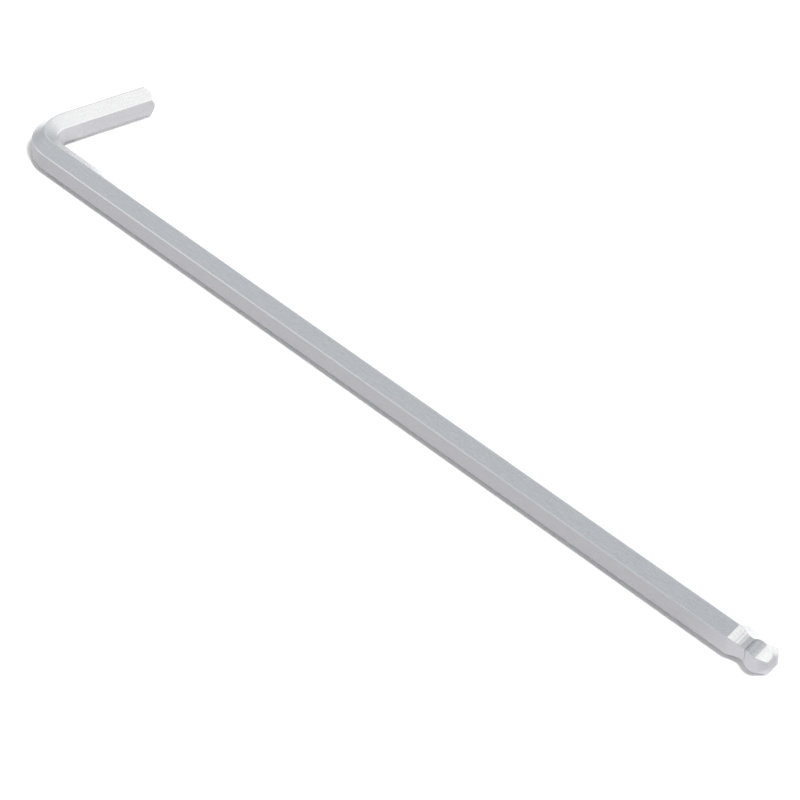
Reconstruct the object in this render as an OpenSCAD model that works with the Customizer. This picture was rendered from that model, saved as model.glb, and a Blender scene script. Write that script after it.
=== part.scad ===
// Hex key with one plain end and one ball end, bent from a single hexagonal bar.
// It lies on its side: the long arm runs along X, the short arm along Y, and both
// arms rest on their lowest corner. The origin is the middle of the underside.

/* [Bar] */
// Size across the flats of the hexagonal bar
across_flats = 5; // [4:0.5:8]
// How far each corner of the hexagon is taken back from a sharp one
corner_blunt = 0.06; // [0.02:0.01:0.15]

/* [Arms] */
// Long arm, from the outer face of the short arm to the tip of the ball
long_arm = 195; // [90:1:300]
// Short arm, from the outer face of the long arm to its plain end
short_arm = 28; // [22:0.5:60]

/* [Bend] */
// Radius of the inner face through the bend
bend_inner_r = 4.2; // [2.5:0.1:6]
// How much thinner the bar is at the middle of the bend
bend_thinning = 0.7; // [0.1:0.1:0.9]

/* [Plain end] */
// Length of the chamfer along the short arm
chamfer_len = 0.85; // [0.4:0.05:1.5]
// Depth of the chamfer, from the sharp corners in to the rim of the end face
chamfer_depth = 0.64; // [0.3:0.02:1]

/* [Ball end] */
// How much smaller the ball is across its flats than the bar
ball_relief = 0.12; // [0.12:0.02:0.4]
// Size across the flats of the flat tip
tip_flat = 2.1; // [1:0.1:3]
// From the middle of the ball back to where the bar starts to taper
neck_len = 5.35; // [5:0.05:9]
// Depth of the neck below the flats of the bar
neck_depth = 0.62; // [0.45:0.01:0.8]
// Length of the shallow ramp down from the bar
ramp_len = 1.25; // [0.8:0.05:1.8]
// Depth at the foot of that ramp
ramp_depth = 0.35; // [0.2:0.01:0.42]
// Radius that carries the ramp on into the neck
neck_fillet_r = 2.75; // [1.5:0.05:4]

/* [Hidden] */
$fn = 96;
// Cutters reach this far past what they cut
slack = 1;
// Half the bar, to a flat, to a sharp corner and to a blunted corner
flat_r = across_flats / 2;
sharp_r = flat_r / cos(30);
corner_r = sharp_r - corner_blunt;
// Half the width that is left of each flat between the blunted corners
flat_half = (corner_r - flat_r * cos(30)) / sin(30);
// Radius of the bar's middle line through the bend, seen from each of its two sides
inner_axis_r = bend_inner_r + flat_r;
outer_axis_r = inner_axis_r + bend_thinning / (sqrt(2) - 1);
// Ends of the arms, from the point where their middle lines cross
tip_x = long_arm - flat_r;
plain_end_y = short_arm - flat_r;
// Rim of the plain end
rim_r = sharp_r - chamfer_depth;
// Ball end, along the long arm and out from its middle line
ball_r = flat_r - ball_relief / 2;
ball_x = tip_x - sqrt(ball_r ^ 2 - (tip_flat / 2) ^ 2);
neck_r = flat_r - neck_depth;
ramp_start_x = ball_x - neck_len;
fillet_rise = neck_depth - ramp_depth;
neck_x = ramp_start_x + ramp_len + sqrt(fillet_rise * (2 * neck_fillet_r - fillet_rise));

// Corners of the blunted hexagon on its flats that face the given directions
function flat_ends(turns) = [
  for (turn = turns, side = [-1, 1])
    [flat_r * cos(turn) - side * flat_half * sin(turn), flat_r * sin(turn) + side * flat_half * cos(turn)]
];

// Section that is true on its outer side and fills past the bar on the inside
module outer_side() {
  polygon(concat(
    [[-across_flats, -corner_r]], flat_ends([-60, 0, 60]), [[-across_flats, corner_r]]
  ));
}

// Section that is true on its inner side and fills past the bar on the outside
module inner_side() {
  polygon(concat(
    [[across_flats, corner_r]], flat_ends([120, 180, 240]), [[across_flats, -corner_r]]
  ));
}

// Sends a section along X, with its +X side turned to -Y
module straight_run(from_x, to_x) {
  translate([from_x, 0, 0])
    rotate([-90, 0, 0]) rotate([0, 90, 0])
      linear_extrude(to_x - from_x) children();
}

// Sends a section round both arms, with its +X side on the outside of the bend
module bent_run(axis_r) {
  translate([axis_r, axis_r, 0])
    rotate(180) rotate_extrude(angle = 90) translate([axis_r, 0]) children();
  straight_run(axis_r, tip_x) children();
  mirror([1, -1, 0]) straight_run(axis_r, plain_end_y) children();
}

// Bar bent round two centres, which leaves it a little thinner inside the bend
module bent_bar() {
  intersection() {
    bent_run(outer_axis_r) outer_side();
    bent_run(inner_axis_r) inner_side();
  }
}

// What the conical chamfer takes off the plain end
module plain_end_cut() {
  translate([0, plain_end_y - chamfer_len, 0])
    rotate([-90, 0, 0])
      rotate_extrude()
        polygon([
          [sharp_r, 0],
          [rim_r, chamfer_len],
          [rim_r, chamfer_len + slack],
          [sharp_r + slack, chamfer_len + slack],
          [sharp_r + slack, 0]
        ]);
}

// Point on the line of the ramp, so many ramp lengths past its start
function on_ramp(share) = [ramp_start_x + share * ramp_len, flat_r - share * ramp_depth];

// Half outline of the ball end as seen along one pair of flats: ramp, neck and ball.
// The ramp's line starts above the flat and ends inside the fillet, so it crosses both.
module ball_end_outline() {
  ramp_top = on_ramp(-1);
  ramp_end = on_ramp(4 / 3);
  difference() {
    polygon([[ramp_top.x, 0], ramp_top, ramp_end, [ball_x, ramp_end.y], [ball_x, 0]]);
    translate([neck_x, neck_r + neck_fillet_r]) circle(neck_fillet_r);
    translate([neck_x, neck_r]) square([ball_x - neck_x + slack, flat_r]);
  }
  translate([ball_x, 0]) circle(ball_r);
}

// What is milled off one flat to leave that outline
module milled_flat() {
  cut_x = on_ramp(-1).x;
  rotate([90, 0, 0])
    linear_extrude(2 * across_flats, center = true)
      difference() {
        translate([cut_x, 0]) square([tip_x - cut_x + slack, across_flats]);
        ball_end_outline();
      }
}

module hex_key() {
  color([0.71, 0.73, 0.76])
    translate([flat_r - long_arm / 2, flat_r - short_arm / 2, corner_r])
      difference() {
        bent_bar();
        plain_end_cut();
        for (turn = [30:60:330]) rotate([turn, 0, 0]) milled_flat();
      }
}

hex_key();
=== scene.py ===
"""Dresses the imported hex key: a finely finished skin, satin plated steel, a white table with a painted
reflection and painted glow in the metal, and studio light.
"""

import math

import bpy
from mathutils import Matrix, Vector


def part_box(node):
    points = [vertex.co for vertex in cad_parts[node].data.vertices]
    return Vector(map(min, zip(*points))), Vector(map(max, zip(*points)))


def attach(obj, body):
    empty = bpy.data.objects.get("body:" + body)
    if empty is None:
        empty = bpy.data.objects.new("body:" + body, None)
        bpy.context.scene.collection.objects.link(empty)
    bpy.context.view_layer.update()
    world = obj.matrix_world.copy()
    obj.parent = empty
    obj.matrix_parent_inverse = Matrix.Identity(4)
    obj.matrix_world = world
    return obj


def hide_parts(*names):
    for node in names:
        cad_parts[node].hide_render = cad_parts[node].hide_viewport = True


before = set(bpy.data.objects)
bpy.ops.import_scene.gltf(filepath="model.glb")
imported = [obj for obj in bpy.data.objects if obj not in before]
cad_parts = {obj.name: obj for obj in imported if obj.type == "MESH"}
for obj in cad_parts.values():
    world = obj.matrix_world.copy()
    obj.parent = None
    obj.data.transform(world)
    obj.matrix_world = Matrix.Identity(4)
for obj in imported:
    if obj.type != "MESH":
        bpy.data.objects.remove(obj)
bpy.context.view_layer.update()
NODE = "hex_key"
LOW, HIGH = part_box(NODE)

MM = 0.001
CM = 0.01

# Bar: from its middle line to a flat, to a blunted corner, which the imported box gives, and to a sharp one
FLAT_R = 2.5 * MM
CORNER_R = (HIGH.z - LOW.z) / 2
SHARP_R = FLAT_R / math.cos(math.radians(30))
# Radius of its softened edges, and how far the corners that the cutter leaves are blunted
EDGE_ROUND = 0.03 * MM
MILLED_BLUNT = 0.015 * MM

# The arms' middle lines cross here, and their ends are measured from here
CROSSING = Vector((LOW.x + FLAT_R, LOW.y + FLAT_R, CORNER_R))
TIP_X = HIGH.x - CROSSING.x
PLAIN_END_Y = HIGH.y - CROSSING.y

# Bend: two middle lines round two centres, which thins the bar between them
BEND_INNER_R = 4.2 * MM
BEND_THINNING = 0.7 * MM
INNER_AXIS_R = BEND_INNER_R + FLAT_R
OUTER_AXIS_R = INNER_AXIS_R + BEND_THINNING / (math.sqrt(2) - 1)
BEND_STEPS = 48

# Plain end. The softening is how far the edge of the chamfer is spread along the bar to each side.
CHAMFER_LEN = 0.85 * MM
CHAMFER_DEPTH = 0.64 * MM
RIM_R = SHARP_R - CHAMFER_DEPTH
RIM_SOFTENING = 0.05 * MM
RIM_SOFTENING_IN = RIM_SOFTENING / 6

# Ball end, out to its flats: the ball, the flat at its tip, the neck, and where the ramp down to it starts
BALL_R = FLAT_R - 0.06 * MM
TIP_FLAT_R = 0.7 * MM
BALL_X = TIP_X - math.sqrt(BALL_R**2 - TIP_FLAT_R**2)
NECK_R = FLAT_R - 0.62 * MM
RAMP_START_X = TIP_X - 7.55 * MM
# Back of the ball: the radius of its arc, and of the fillet that leads into it from the neck
BALL_BACK_R = 3.3 * MM
BALL_FILLET_R = 0.6 * MM
# Front of the ball: it starts with a crease this far past the ball's middle. The lead is where a gentle slope,
# in degrees, takes over from the ball on the way there. The steepness is that slope's, just before the crease.
FRONT_FROM = 0.95 * MM
FRONT_LEAD = 0.3 * MM
FRONT_LEAD_SLOPE = 9
FRONT_LEAD_STEEPNESS = 0.16
# The cutter's steps down the ramp: length along the bar, and the slope of each in degrees
RAMP_STEPS = ((1.3 * MM, 16), (0.14 * MM, 6), (0.42 * MM, 17), (0.12 * MM, 4), (0.42 * MM, 12.9))
STEP_SOFTENING = 0.03 * MM

# Points round a section: on each softened edge, and between two edges along a flat
EDGE_POINTS = 4
FLAT_POINTS = 8
# Points along the fillet, the back and the front of the ball
FILLET_STEPS = 8
BACK_STEPS = 16
FRONT_STEPS = 24
# Edges that turn more than this, in degrees, are shaded sharp
SHARP_ANGLE = 12


def section(flat_r):
    """Points (outward, up) round a hexagon with blunt corners, from the flat that faces outward."""
    blunt_r = min(CORNER_R, flat_r / math.cos(math.radians(30)) - MILLED_BLUNT)
    sides = [(math.radians(30 * k), blunt_r if k % 2 else flat_r) for k in range(13)]
    arcs = []
    for (turn_a, reach_a), (turn_b, reach_b) in zip(sides, sides[1:]):
        a, b = reach_a - EDGE_ROUND, reach_b - EDGE_ROUND
        wedge = math.sin(turn_b - turn_a)
        centre = Vector((
            (a * math.sin(turn_b) - b * math.sin(turn_a)) / wedge,
            (b * math.cos(turn_a) - a * math.cos(turn_b)) / wedge,
        ))
        turns = [turn_a + (turn_b - turn_a) * i / (EDGE_POINTS - 1) for i in range(EDGE_POINTS)]
        arcs.append([centre + Vector((math.cos(t), math.sin(t))) * EDGE_ROUND for t in turns])
    ring = []
    for k, arc in enumerate(arcs):
        ring += arc
        if k % 2:
            after = arcs[(k + 1) % len(arcs)][0]
            ring += [arc[-1].lerp(after, i / (FLAT_POINTS + 1)) for i in range(1, FLAT_POINTS + 1)]
    return ring


def on_long_arm(x, p):
    """A section point p on the long arm, x along it from the crossing."""
    return Vector((x, -p.x, p.y))


def on_short_arm(y, p):
    """A section point p on the short arm, y along it from the crossing."""
    return Vector((-p.x, y, p.y))


def reach_inner(turn, out):
    """Distance from the bend's outer centre to a line round its inner centre and along both arms."""
    radius = INNER_AXIS_R + out
    gap = OUTER_AXIS_R - INNER_AXIS_R
    c, s = math.cos(turn), math.sin(turn)
    if OUTER_AXIS_R - (OUTER_AXIS_R + out) / max(c, 1e-9) * s > INNER_AXIS_R:
        return (OUTER_AXIS_R + out) / c
    if OUTER_AXIS_R - (OUTER_AXIS_R + out) / max(s, 1e-9) * c > INNER_AXIS_R:
        return (OUTER_AXIS_R + out) / s
    along = gap * (c + s)
    return along + math.sqrt(along**2 - 2 * gap**2 + radius**2)


def on_bend(turn, p):
    """A section point p in the bend, turn from the long arm's end of it. The bar is thinner at its middle."""
    share = min(max((p.x + FLAT_R) / (2 * FLAT_R), 0), 1)
    reach = share * (OUTER_AXIS_R + p.x) + (1 - share) * reach_inner(turn, p.x)
    return Vector((OUTER_AXIS_R - reach * math.sin(turn), OUTER_AXIS_R - reach * math.cos(turn), p.y))


def milled_outline():
    """(x, distance of the flat) along the ball end: the stepped ramp, the neck and the ball to its tip."""
    outline = [(RAMP_START_X, FLAT_R)]
    x, flat_r = RAMP_START_X, FLAT_R
    for length, slope in RAMP_STEPS:
        drop = math.tan(math.radians(slope))
        for along in (STEP_SOFTENING, length - STEP_SOFTENING):
            outline.append((x + along, flat_r - along * drop))
        x, flat_r = x + length, flat_r - length * drop
    outline.append((x + STEP_SOFTENING, NECK_R))
    return outline + ball_back(x) + ball_front()


def ball_back(neck_start):
    """The rest of the neck, a small fillet, and the ball's back as an arc about a lower centre."""
    back_drop = BALL_BACK_R - BALL_R
    fillet_up = NECK_R + BALL_FILLET_R
    fillet_back = math.sqrt((BALL_BACK_R + BALL_FILLET_R) ** 2 - (fillet_up + back_drop) ** 2)
    lean = math.asin(fillet_back / (BALL_BACK_R + BALL_FILLET_R))
    fillet_x = BALL_X - fillet_back
    outline = [((neck_start + fillet_x) / 2, NECK_R)]
    for i in range(FILLET_STEPS):
        a = lean * i / FILLET_STEPS
        outline.append((fillet_x + BALL_FILLET_R * math.sin(a), fillet_up - BALL_FILLET_R * math.cos(a)))
    for i in range(BACK_STEPS):
        a = lean * (1 - i / BACK_STEPS)
        outline.append((BALL_X - BALL_BACK_R * math.sin(a), BALL_BACK_R * math.cos(a) - back_drop))
    return outline


def ball_front():
    """The ball's top, the gentle slope to the crease, and the front as an arc from there to the tip's rim."""
    lead_up = math.sqrt(BALL_R**2 - FRONT_LEAD**2)
    front_up = lead_up - (FRONT_FROM - FRONT_LEAD) * math.tan(math.radians(FRONT_LEAD_SLOPE))
    before_crease = BALL_X + FRONT_FROM - STEP_SOFTENING
    outline = [(BALL_X, BALL_R), (BALL_X + FRONT_LEAD, lead_up)]
    outline.append((before_crease, front_up + STEP_SOFTENING * FRONT_LEAD_STEEPNESS))
    tip = TIP_X - BALL_X
    centre = (tip**2 + TIP_FLAT_R**2 - FRONT_FROM**2 - front_up**2) / (2 * (tip - FRONT_FROM))
    radius = math.hypot(tip - centre, TIP_FLAT_R)
    first, last = math.atan2(FRONT_FROM - centre, front_up), math.atan2(tip - centre, TIP_FLAT_R)
    for i in range(FRONT_STEPS + 1):
        a = first + (last - first) * i / FRONT_STEPS
        outline.append((BALL_X + centre + radius * math.sin(a), radius * math.cos(a)))
    return outline


def plain_end_rings():
    """The short arm's end: where the cone cuts the flats and corners, then the rim of the end face."""
    cone_start = PLAIN_END_Y - CHAMFER_LEN
    slope = CHAMFER_LEN / (SHARP_R - RIM_R)
    bar = section(FLAT_R)
    cut = [cone_start + (SHARP_R - p.length) * slope for p in bar]
    before = [on_short_arm(y - RIM_SOFTENING, p) for y, p in zip(cut, bar)]
    edge = [on_short_arm(y, p * (1 - RIM_SOFTENING_IN / FLAT_R)) for y, p in zip(cut, bar)]
    on_cone = [p * ((p.length - RIM_SOFTENING / slope) / p.length) for p in bar]
    after = [on_short_arm(y + RIM_SOFTENING, p) for y, p in zip(cut, on_cone)]
    rim = [on_short_arm(PLAIN_END_Y, p * (RIM_R / p.length)) for p in bar]
    return [rim, after, edge, before]


def rings():
    """Every ring of the bar in turn, from the rim of the plain end to the rim of the ball's tip."""
    bar = section(FLAT_R)
    result = plain_end_rings()
    quarter = math.pi / 2
    for i in range(BEND_STEPS, -1, -1):
        result.append([on_bend(quarter * i / BEND_STEPS, p) for p in bar])
    for x, flat_r in milled_outline():
        result.append([on_long_arm(x, p) for p in section(flat_r)])
    return result


def make_bar():
    """One closed mesh for the whole key. Its UV map holds the distances along the bar and round it."""
    all_rings = rings()
    count = len(all_rings[0])
    verts = [CROSSING + p for ring in all_rings for p in ring]
    faces = []
    for r in range(len(all_rings) - 1):
        for i in range(count):
            j = (i + 1) % count
            a, b = r * count, (r + 1) * count
            faces.append((a + i, b + i, b + j, a + j))
    faces.append(tuple(range(count)))
    last = (len(all_rings) - 1) * count
    faces.append(tuple(last + i for i in range(count))[::-1])
    mesh = bpy.data.meshes.new("bent_bar")
    mesh.from_pydata([tuple(v) for v in verts], [], faces)
    mesh.validate()
    mesh.update()
    add_uv(mesh, all_rings, count)
    obj = bpy.data.objects.new("bent_bar", mesh)
    bpy.context.scene.collection.objects.link(obj)
    return obj


def add_uv(mesh, all_rings, count):
    """U is the distance along the bar and V the distance round it, in centimetres."""
    middles = [sum(ring, Vector()) / count for ring in all_rings]
    along = [0.0]
    for a, b in zip(middles, middles[1:]):
        along.append(along[-1] + (b - a).length)
    around = 6 * FLAT_R
    layer = mesh.uv_layers.new(name="bar")
    for poly in mesh.polygons:
        start = min(mesh.loops[k].vertex_index % count for k in poly.loop_indices)
        for k in poly.loop_indices:
            ring, i = divmod(mesh.loops[k].vertex_index, count)
            if poly.loop_total == 4 and start == 0 and i == count - 1:
                i = -1
            layer.data[k].uv = (along[ring] / CM, i / count * around / CM)


def shade(obj, sharp_angle):
    """Smooth shading that keeps the flats flat and the machined edges crisp."""
    mesh = obj.data
    for poly in mesh.polygons:
        poly.use_smooth = True
    mesh.set_sharp_from_angle(angle=math.radians(sharp_angle))
    mod = obj.modifiers.new("even_normals", "WEIGHTED_NORMAL")
    mod.keep_sharp = True
    mod.weight = 100
    bpy.context.view_layer.objects.active = obj
    obj.select_set(True)
    bpy.ops.object.modifier_apply(modifier=mod.name)
    obj.select_set(False)


def new_material(name):
    """An empty material of that name, and its node tree."""
    material = bpy.data.materials.new(name)
    material.use_nodes = True
    material.node_tree.nodes.clear()
    return material, material.node_tree


def node_math(tree, operation, a, b=None):
    """A math node on two inputs, each a socket or a number."""
    node = tree.nodes.new("ShaderNodeMath")
    node.operation = operation
    for socket, value in zip(node.inputs, (a, b)):
        if isinstance(value, (int, float)):
            socket.default_value = value
        elif value is not None:
            tree.links.new(value, socket)
    return node.outputs["Value"]


def smooth_step(tree, value, start, end, low=0.0, high=1.0):
    """A smooth change from low at start to high at end."""
    node = tree.nodes.new("ShaderNodeMapRange")
    node.interpolation_type = "SMOOTHSTEP"
    tree.links.new(value, node.inputs["Value"])
    for name, number in (("From Min", start), ("From Max", end), ("To Min", low), ("To Max", high)):
        node.inputs[name].default_value = number
    return node.outputs["Result"]


# Steel: its darker and lighter grey, and the values of the mottle at which each is reached
STEEL_DARK = (0.565, 0.565, 0.565, 1)
STEEL_LIGHT = (0.635, 0.635, 0.635, 1)
MOTTLE_RANGE = (0.7, 1.3)
# Its roughness on the smoothest and roughest patches, and how much rougher the metal is round the bend. The
# last comes and goes along the bar over these centimetres from the plain end.
ROUGHNESS = (0.2, 0.27)
BEND_ROUGHER = 0.12
BEND_ROUGH_START = (1.3, 2.0)
BEND_ROUGH_END = (2.9, 3.6)
# Drawn lines: how many to a centimetre, along the bar and round it, and their layers of finer detail
LINES = (3.0, 160.0, 1.0)
LINE_DETAIL = 4.0
# Grain and patches: how many to a metre, and their layers of finer detail
GRAIN = (4000.0, 2.0)
PATCHES = (90.0, 3.0)
# Lines and grain as relief: how strong, and how deep
LINE_BUMP = (0.05, 0.02 * MM)
GRAIN_BUMP = (0.08, 0.01 * MM)


def noise(tree, vector, scale, detail):
    """Noise with so many spots to a unit of the vector, and so many layers of finer detail."""
    node = tree.nodes.new("ShaderNodeTexNoise")
    node.inputs["Scale"].default_value = scale
    node.inputs["Detail"].default_value = detail
    tree.links.new(vector, node.inputs["Vector"])
    return node.outputs["Fac"]


def bump(tree, height, strength, distance, below=None):
    """A normal that rises and falls with the height, over the normal below where one is given."""
    node = tree.nodes.new("ShaderNodeBump")
    node.inputs["Strength"].default_value = strength
    node.inputs["Distance"].default_value = distance
    tree.links.new(height, node.inputs["Height"])
    if below is not None:
        tree.links.new(below, node.inputs["Normal"])
    return node.outputs["Normal"]


def satin_steel():
    """Satin plated steel: fine drawn lines, a soft grain, smoother patches and a rougher bend."""
    material, tree = new_material("satin_steel")
    nodes, links = tree.nodes, tree.links
    out = nodes.new("ShaderNodeOutputMaterial")
    metal = nodes.new("ShaderNodeBsdfPrincipled")
    metal.inputs["Metallic"].default_value = 1.0
    links.new(metal.outputs["BSDF"], out.inputs["Surface"])

    uv = nodes.new("ShaderNodeUVMap")
    uv.uv_map = "bar"
    stretch = nodes.new("ShaderNodeMapping")
    stretch.inputs["Scale"].default_value = LINES
    links.new(uv.outputs["UV"], stretch.inputs["Vector"])
    lines = noise(tree, stretch.outputs["Vector"], 1.0, LINE_DETAIL)
    place = nodes.new("ShaderNodeTexCoord").outputs["Object"]
    grain = noise(tree, place, *GRAIN)
    patches = noise(tree, place, *PATCHES)

    rough = nodes.new("ShaderNodeMapRange")
    rough.inputs["To Min"].default_value, rough.inputs["To Max"].default_value = ROUGHNESS
    links.new(patches, rough.inputs["Value"])
    split = nodes.new("ShaderNodeSeparateXYZ")
    links.new(uv.outputs["UV"], split.inputs["Vector"])
    into_bend = smooth_step(tree, split.outputs["X"], *BEND_ROUGH_START)
    out_of_bend = smooth_step(tree, split.outputs["X"], *BEND_ROUGH_END, 1.0, 0.0)
    stretched = node_math(tree, "MULTIPLY", into_bend, out_of_bend)
    stretched = node_math(tree, "MULTIPLY", stretched, BEND_ROUGHER)
    links.new(node_math(tree, "ADD", rough.outputs["Result"], stretched), metal.inputs["Roughness"])

    tint = nodes.new("ShaderNodeMix")
    tint.data_type = "RGBA"
    tint.inputs["A"].default_value = STEEL_DARK
    tint.inputs["B"].default_value = STEEL_LIGHT
    mottle = node_math(tree, "ADD", lines, grain)
    links.new(smooth_step(tree, mottle, *MOTTLE_RANGE), tint.inputs["Factor"])
    links.new(tint.outputs["Result"], metal.inputs["Base Color"])

    lined = bump(tree, lines, *LINE_BUMP)
    links.new(bump(tree, grain, *GRAIN_BUMP, lined), metal.inputs["Normal"])
    return material


# Table, in metres: its plain colour, and the one above white in which the camera sees it
FLOOR_SIZE = 4.0
PLAIN_WHITE = (0.8, 0.8, 0.8)
SEEN_WHITE = (1.34, 1.34, 1.34)
# Painted reflection: the table as the metal mirrors it is tinted and painted brighter or darker by place.
# Table as the metal mirrors it: its tint, and its level in front of the key, near the ball, past the tip and
# behind the key, with the stretch of x or y over which each comes in
PAINTED_REFLECTION_TINT = Vector((0.99, 0.985, 1.04))
PAINTED_REFLECTION_FRONT = 0.875
PAINTED_REFLECTION_NEAR_BALL = 1.14
NEAR_BALL_X = (76 * MM, 96 * MM)
PAINTED_REFLECTION_PAST_TIP = 0.88
PAST_TIP_X = (97 * MM, 102 * MM)
PAINTED_REFLECTION_BEHIND = 1.02
BEHIND_Y = (-12 * MM, 0.0)
# Painted glow of the table, which is no lamp, where the metal mirrors it at a slant: its level, the slants,
# and where it comes and goes
PAINTED_GLOW = 1.1
PAINTED_GLOW_SLANT = (0.55, 0.78)
PAINTED_GLOW_Y = (-8 * MM, 3 * MM)
PAINTED_GLOW_END_X = (96 * MM, 99 * MM)


def mix_by(tree, factor, a, b):
    """Shader a where the factor is 0, shader b where it is 1."""
    node = tree.nodes.new("ShaderNodeMixShader")
    tree.links.new(factor, node.inputs["Fac"])
    tree.links.new(a, node.inputs[1])
    tree.links.new(b, node.inputs[2])
    return node.outputs["Shader"]


def tinted(tree, tint, level):
    """A colour whose strength follows a level."""
    node = tree.nodes.new("ShaderNodeVectorMath")
    node.operation = "SCALE"
    node.inputs[0].default_value = tint
    tree.links.new(level, node.inputs["Scale"])
    return node.outputs["Vector"]


def matt(tree, colour):
    """A matt surface in a plain colour, or in one from a socket."""
    node = tree.nodes.new("ShaderNodeBsdfDiffuse")
    if isinstance(colour, tuple):
        node.inputs["Color"].default_value = (*colour, 1)
    else:
        tree.links.new(colour, node.inputs["Color"])
    return node.outputs["BSDF"]


def table_material():
    """Matt white table, over-exposed for the camera. In the metal it shows a painted reflection, brighter
    behind, and a painted glow farther off.
    """
    material, tree = new_material("white_table")
    out = tree.nodes.new("ShaderNodeOutputMaterial")
    rays = tree.nodes.new("ShaderNodeLightPath")
    slant = tree.nodes.new("ShaderNodeLayerWeight")
    place = tree.nodes.new("ShaderNodeTexCoord")
    split = tree.nodes.new("ShaderNodeSeparateXYZ")
    tree.links.new(place.outputs["Object"], split.inputs["Vector"])
    x, y = split.outputs["X"], split.outputs["Y"]
    # Painted reflection: the table's level in the metal is painted by place, brighter near the ball and
    # behind, dimmer past the tip.
    beside = smooth_step(tree, x, *NEAR_BALL_X, PAINTED_REFLECTION_FRONT, PAINTED_REFLECTION_NEAR_BALL)
    level = node_math(tree, "MAXIMUM", beside, smooth_step(tree, y, *BEHIND_Y, 0.0, PAINTED_REFLECTION_BEHIND))
    level = node_math(tree, "MULTIPLY", level, smooth_step(tree, x, *PAST_TIP_X, 1.0, PAINTED_REFLECTION_PAST_TIP))
    # Painted glow: an emission on the table, seen only in the metal, where it is mirrored at a slant behind
    # the key and short of the tip.
    painted_glow = tree.nodes.new("ShaderNodeEmission")
    painted_sheen = smooth_step(tree, slant.outputs["Facing"], *PAINTED_GLOW_SLANT, 0.0, PAINTED_GLOW)
    behind = smooth_step(tree, y, *PAINTED_GLOW_Y)
    behind = node_math(tree, "MULTIPLY", behind, smooth_step(tree, x, *PAINTED_GLOW_END_X, 1.0, 0.0))
    tree.links.new(node_math(tree, "MULTIPLY", painted_sheen, behind), painted_glow.inputs["Strength"])
    painted_reflection = tree.nodes.new("ShaderNodeAddShader")
    tree.links.new(matt(tree, tinted(tree, PAINTED_REFLECTION_TINT, level)), painted_reflection.inputs[0])
    tree.links.new(painted_glow.outputs["Emission"], painted_reflection.inputs[1])
    surface = mix_by(tree, rays.outputs["Is Glossy Ray"], matt(tree, PLAIN_WHITE), painted_reflection.outputs["Shader"])
    surface = mix_by(tree, rays.outputs["Is Camera Ray"], surface, matt(tree, SEEN_WHITE))
    tree.links.new(surface, out.inputs["Surface"])
    return material


def make_table():
    """The table under the key, a plane that is no part of it."""
    bpy.ops.mesh.primitive_plane_add(size=FLOOR_SIZE, location=(0, 0, LOW.z))
    table = bpy.context.object
    table.name = "table"
    table.data.materials.append(table_material())


# Studio, as the metal mirrors it. Each level is a strength and each side a direction. Each edge is how closely
# a mirrored direction agrees with that side where the level starts, and where it is full.
# Blue-grey room, darker overhead. The change is the height at which that comes in.
ROOM_TINT = Vector((0.947, 1.0, 1.054))
ROOM_LOW_LEVEL = 0.87
ROOM_HIGH_LEVEL = 0.78
ROOM_CHANGE = (0.6, 0.85)
# Darker part of the room past the bend, as a share of the room's own level
DARK_SHARE = 0.72
DARK_SIDE = Vector((-0.93, 0.33, 0.15)).normalized()
DARK_EDGE = (0.84, 0.95)
# Wide lamp over the ball end, low lamp past the bend, pale wall behind the key, and lamp above and behind it
LAMP_TINT = Vector((1.11, 1.05, 1.0))
LAMP_LEVEL = 0.68
LAMP_SIDE = Vector((0.7, 0.1, 0.7)).normalized()
LAMP_EDGE = (0.33, 0.52)
LOW_LAMP_LEVEL = 0.6
LOW_LAMP_SIDE = Vector((-0.9, -0.43, 0.04)).normalized()
LOW_LAMP_EDGE = (0.9, 0.95)
WALL_LEVEL = 0.62
WALL_SIDE = Vector((0.2, 0.97, 0.05)).normalized()
WALL_EDGE = (0.78, 0.92)
BACK_LAMP_LEVEL = 0.32
BACK_LAMP_SIDE = Vector((-0.65, 0.545, 0.53)).normalized()
BACK_LAMP_EDGE = (0.92, 0.975)
# Light on what is matt: an even one from all round, and a soft lamp, whose width is in degrees
EVEN_LIGHT = 0.42
KEY_LIGHT = 2.05
KEY_LIGHT_FROM = Vector((0.85, -0.32, 1.0))
KEY_LIGHT_WIDTH = 10


def toward(tree, direction, side):
    """How far the direction points to a side, from -1 to 1."""
    node = tree.nodes.new("ShaderNodeVectorMath")
    node.operation = "DOT_PRODUCT"
    tree.links.new(direction, node.inputs[0])
    node.inputs[1].default_value = side
    return node.outputs["Value"]


def shine(tree, direction, side, edge, level):
    """The level of a lamp on one side of the studio, for a direction that the metal mirrors."""
    return smooth_step(tree, toward(tree, direction, side), *edge, 0.0, level)


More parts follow.
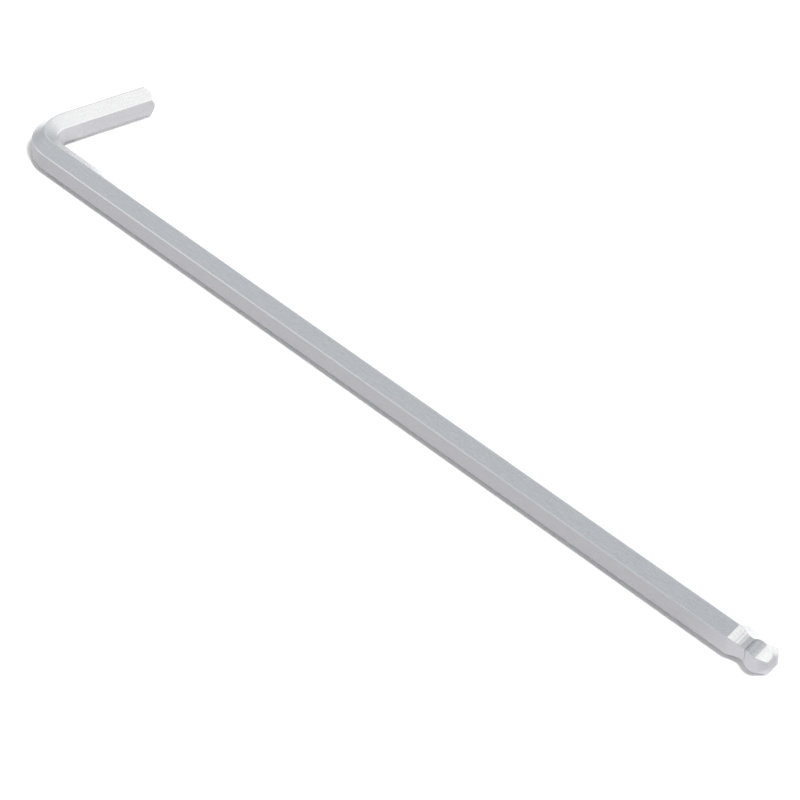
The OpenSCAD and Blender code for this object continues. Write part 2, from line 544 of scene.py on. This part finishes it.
def make_world():
    """The studio in the metal, an even light on what is matt, and plain white for the camera."""
    world = bpy.data.worlds.new("studio")
    bpy.context.scene.world = world
    world.use_nodes = True
    tree = world.node_tree
    tree.nodes.clear()
    direction = tree.nodes.new("ShaderNodeTexCoord").outputs["Generated"]
    height = toward(tree, direction, Vector((0, 0, 1)))
    room = smooth_step(tree, height, *ROOM_CHANGE, ROOM_LOW_LEVEL, ROOM_HIGH_LEVEL)
    dark = smooth_step(tree, toward(tree, direction, DARK_SIDE), *DARK_EDGE, 1.0, DARK_SHARE)
    room = node_math(tree, "MULTIPLY", room, dark)
    lights = shine(tree, direction, LAMP_SIDE, LAMP_EDGE, LAMP_LEVEL)
    for side, edge, level in (
        (LOW_LAMP_SIDE, LOW_LAMP_EDGE, LOW_LAMP_LEVEL),
        (WALL_SIDE, WALL_EDGE, WALL_LEVEL),
        (BACK_LAMP_SIDE, BACK_LAMP_EDGE, BACK_LAMP_LEVEL),
    ):
        lights = node_math(tree, "MAXIMUM", lights, shine(tree, direction, side, edge, level))
    both = tree.nodes.new("ShaderNodeVectorMath")
    both.operation = "ADD"
    tree.links.new(tinted(tree, ROOM_TINT, room), both.inputs[0])
    tree.links.new(tinted(tree, LAMP_TINT, lights), both.inputs[1])
    shades = []
    for colour in (both.outputs["Vector"], EVEN_LIGHT, 1.0):
        shade_node = tree.nodes.new("ShaderNodeBackground")
        if isinstance(colour, float):
            shade_node.inputs["Color"].default_value = (colour, colour, colour, 1)
        else:
            tree.links.new(colour, shade_node.inputs["Color"])
        shades.append(shade_node.outputs["Background"])
    studio, even, plain = shades
    rays = tree.nodes.new("ShaderNodeLightPath")
    seen = mix_by(tree, rays.outputs["Is Glossy Ray"], even, studio)
    seen = mix_by(tree, rays.outputs["Is Camera Ray"], seen, plain)
    out = tree.nodes.new("ShaderNodeOutputWorld")
    tree.links.new(seen, out.inputs["Surface"])


def make_key_light():
    """The soft lamp that puts the shadow close under the key. The metal shows the studio's lamp instead."""
    data = bpy.data.lights.new("key_light", "SUN")
    data.energy = KEY_LIGHT
    data.angle = math.radians(KEY_LIGHT_WIDTH)
    lamp = bpy.data.objects.new("key_light", data)
    bpy.context.scene.collection.objects.link(lamp)
    lamp.rotation_euler = KEY_LIGHT_FROM.to_track_quat("Z", "Y").to_euler()
    lamp.visible_glossy = False


# Camera: where it looks, from which side and height in degrees, how far it is turned about its line of sight,
# how far off it is, its lens and sensor in millimetres, and the nearest that it sees
AIM = Vector((8.411, -11.168, 2.827)) * MM
AZIMUTH = 50.186
ELEVATION = 31.772
ROLL = 2.899
DISTANCE = 796.48 * MM
LENS = 225.326
SENSOR_WIDTH = 36
NEAREST_SEEN = 50 * MM


def make_camera():
    """The camera as fitted to the key's edges in the photo."""
    data = bpy.data.cameras.new("camera")
    data.lens = LENS
    data.sensor_width = SENSOR_WIDTH
    data.clip_start = NEAREST_SEEN
    camera = bpy.data.objects.new("camera", data)
    bpy.context.scene.collection.objects.link(camera)
    az, el = math.radians(AZIMUTH), math.radians(ELEVATION)
    away = Vector((math.sin(az) * math.cos(el), -math.cos(az) * math.cos(el), math.sin(el)))
    look = (-away).to_track_quat("-Z", "Y").to_matrix().to_4x4()
    turn = Matrix.Rotation(math.radians(ROLL), 4, "Z")
    camera.matrix_world = Matrix.Translation(AIM + away * DISTANCE) @ look @ turn
    bpy.context.scene.camera = camera


make_camera()
make_table()
make_world()
make_key_light()

key = make_bar()
shade(key, SHARP_ANGLE)
key.data.materials.append(satin_steel())
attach(key, "root")
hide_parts(NODE)

bpy.context.scene.view_settings.view_transform = "Standard"
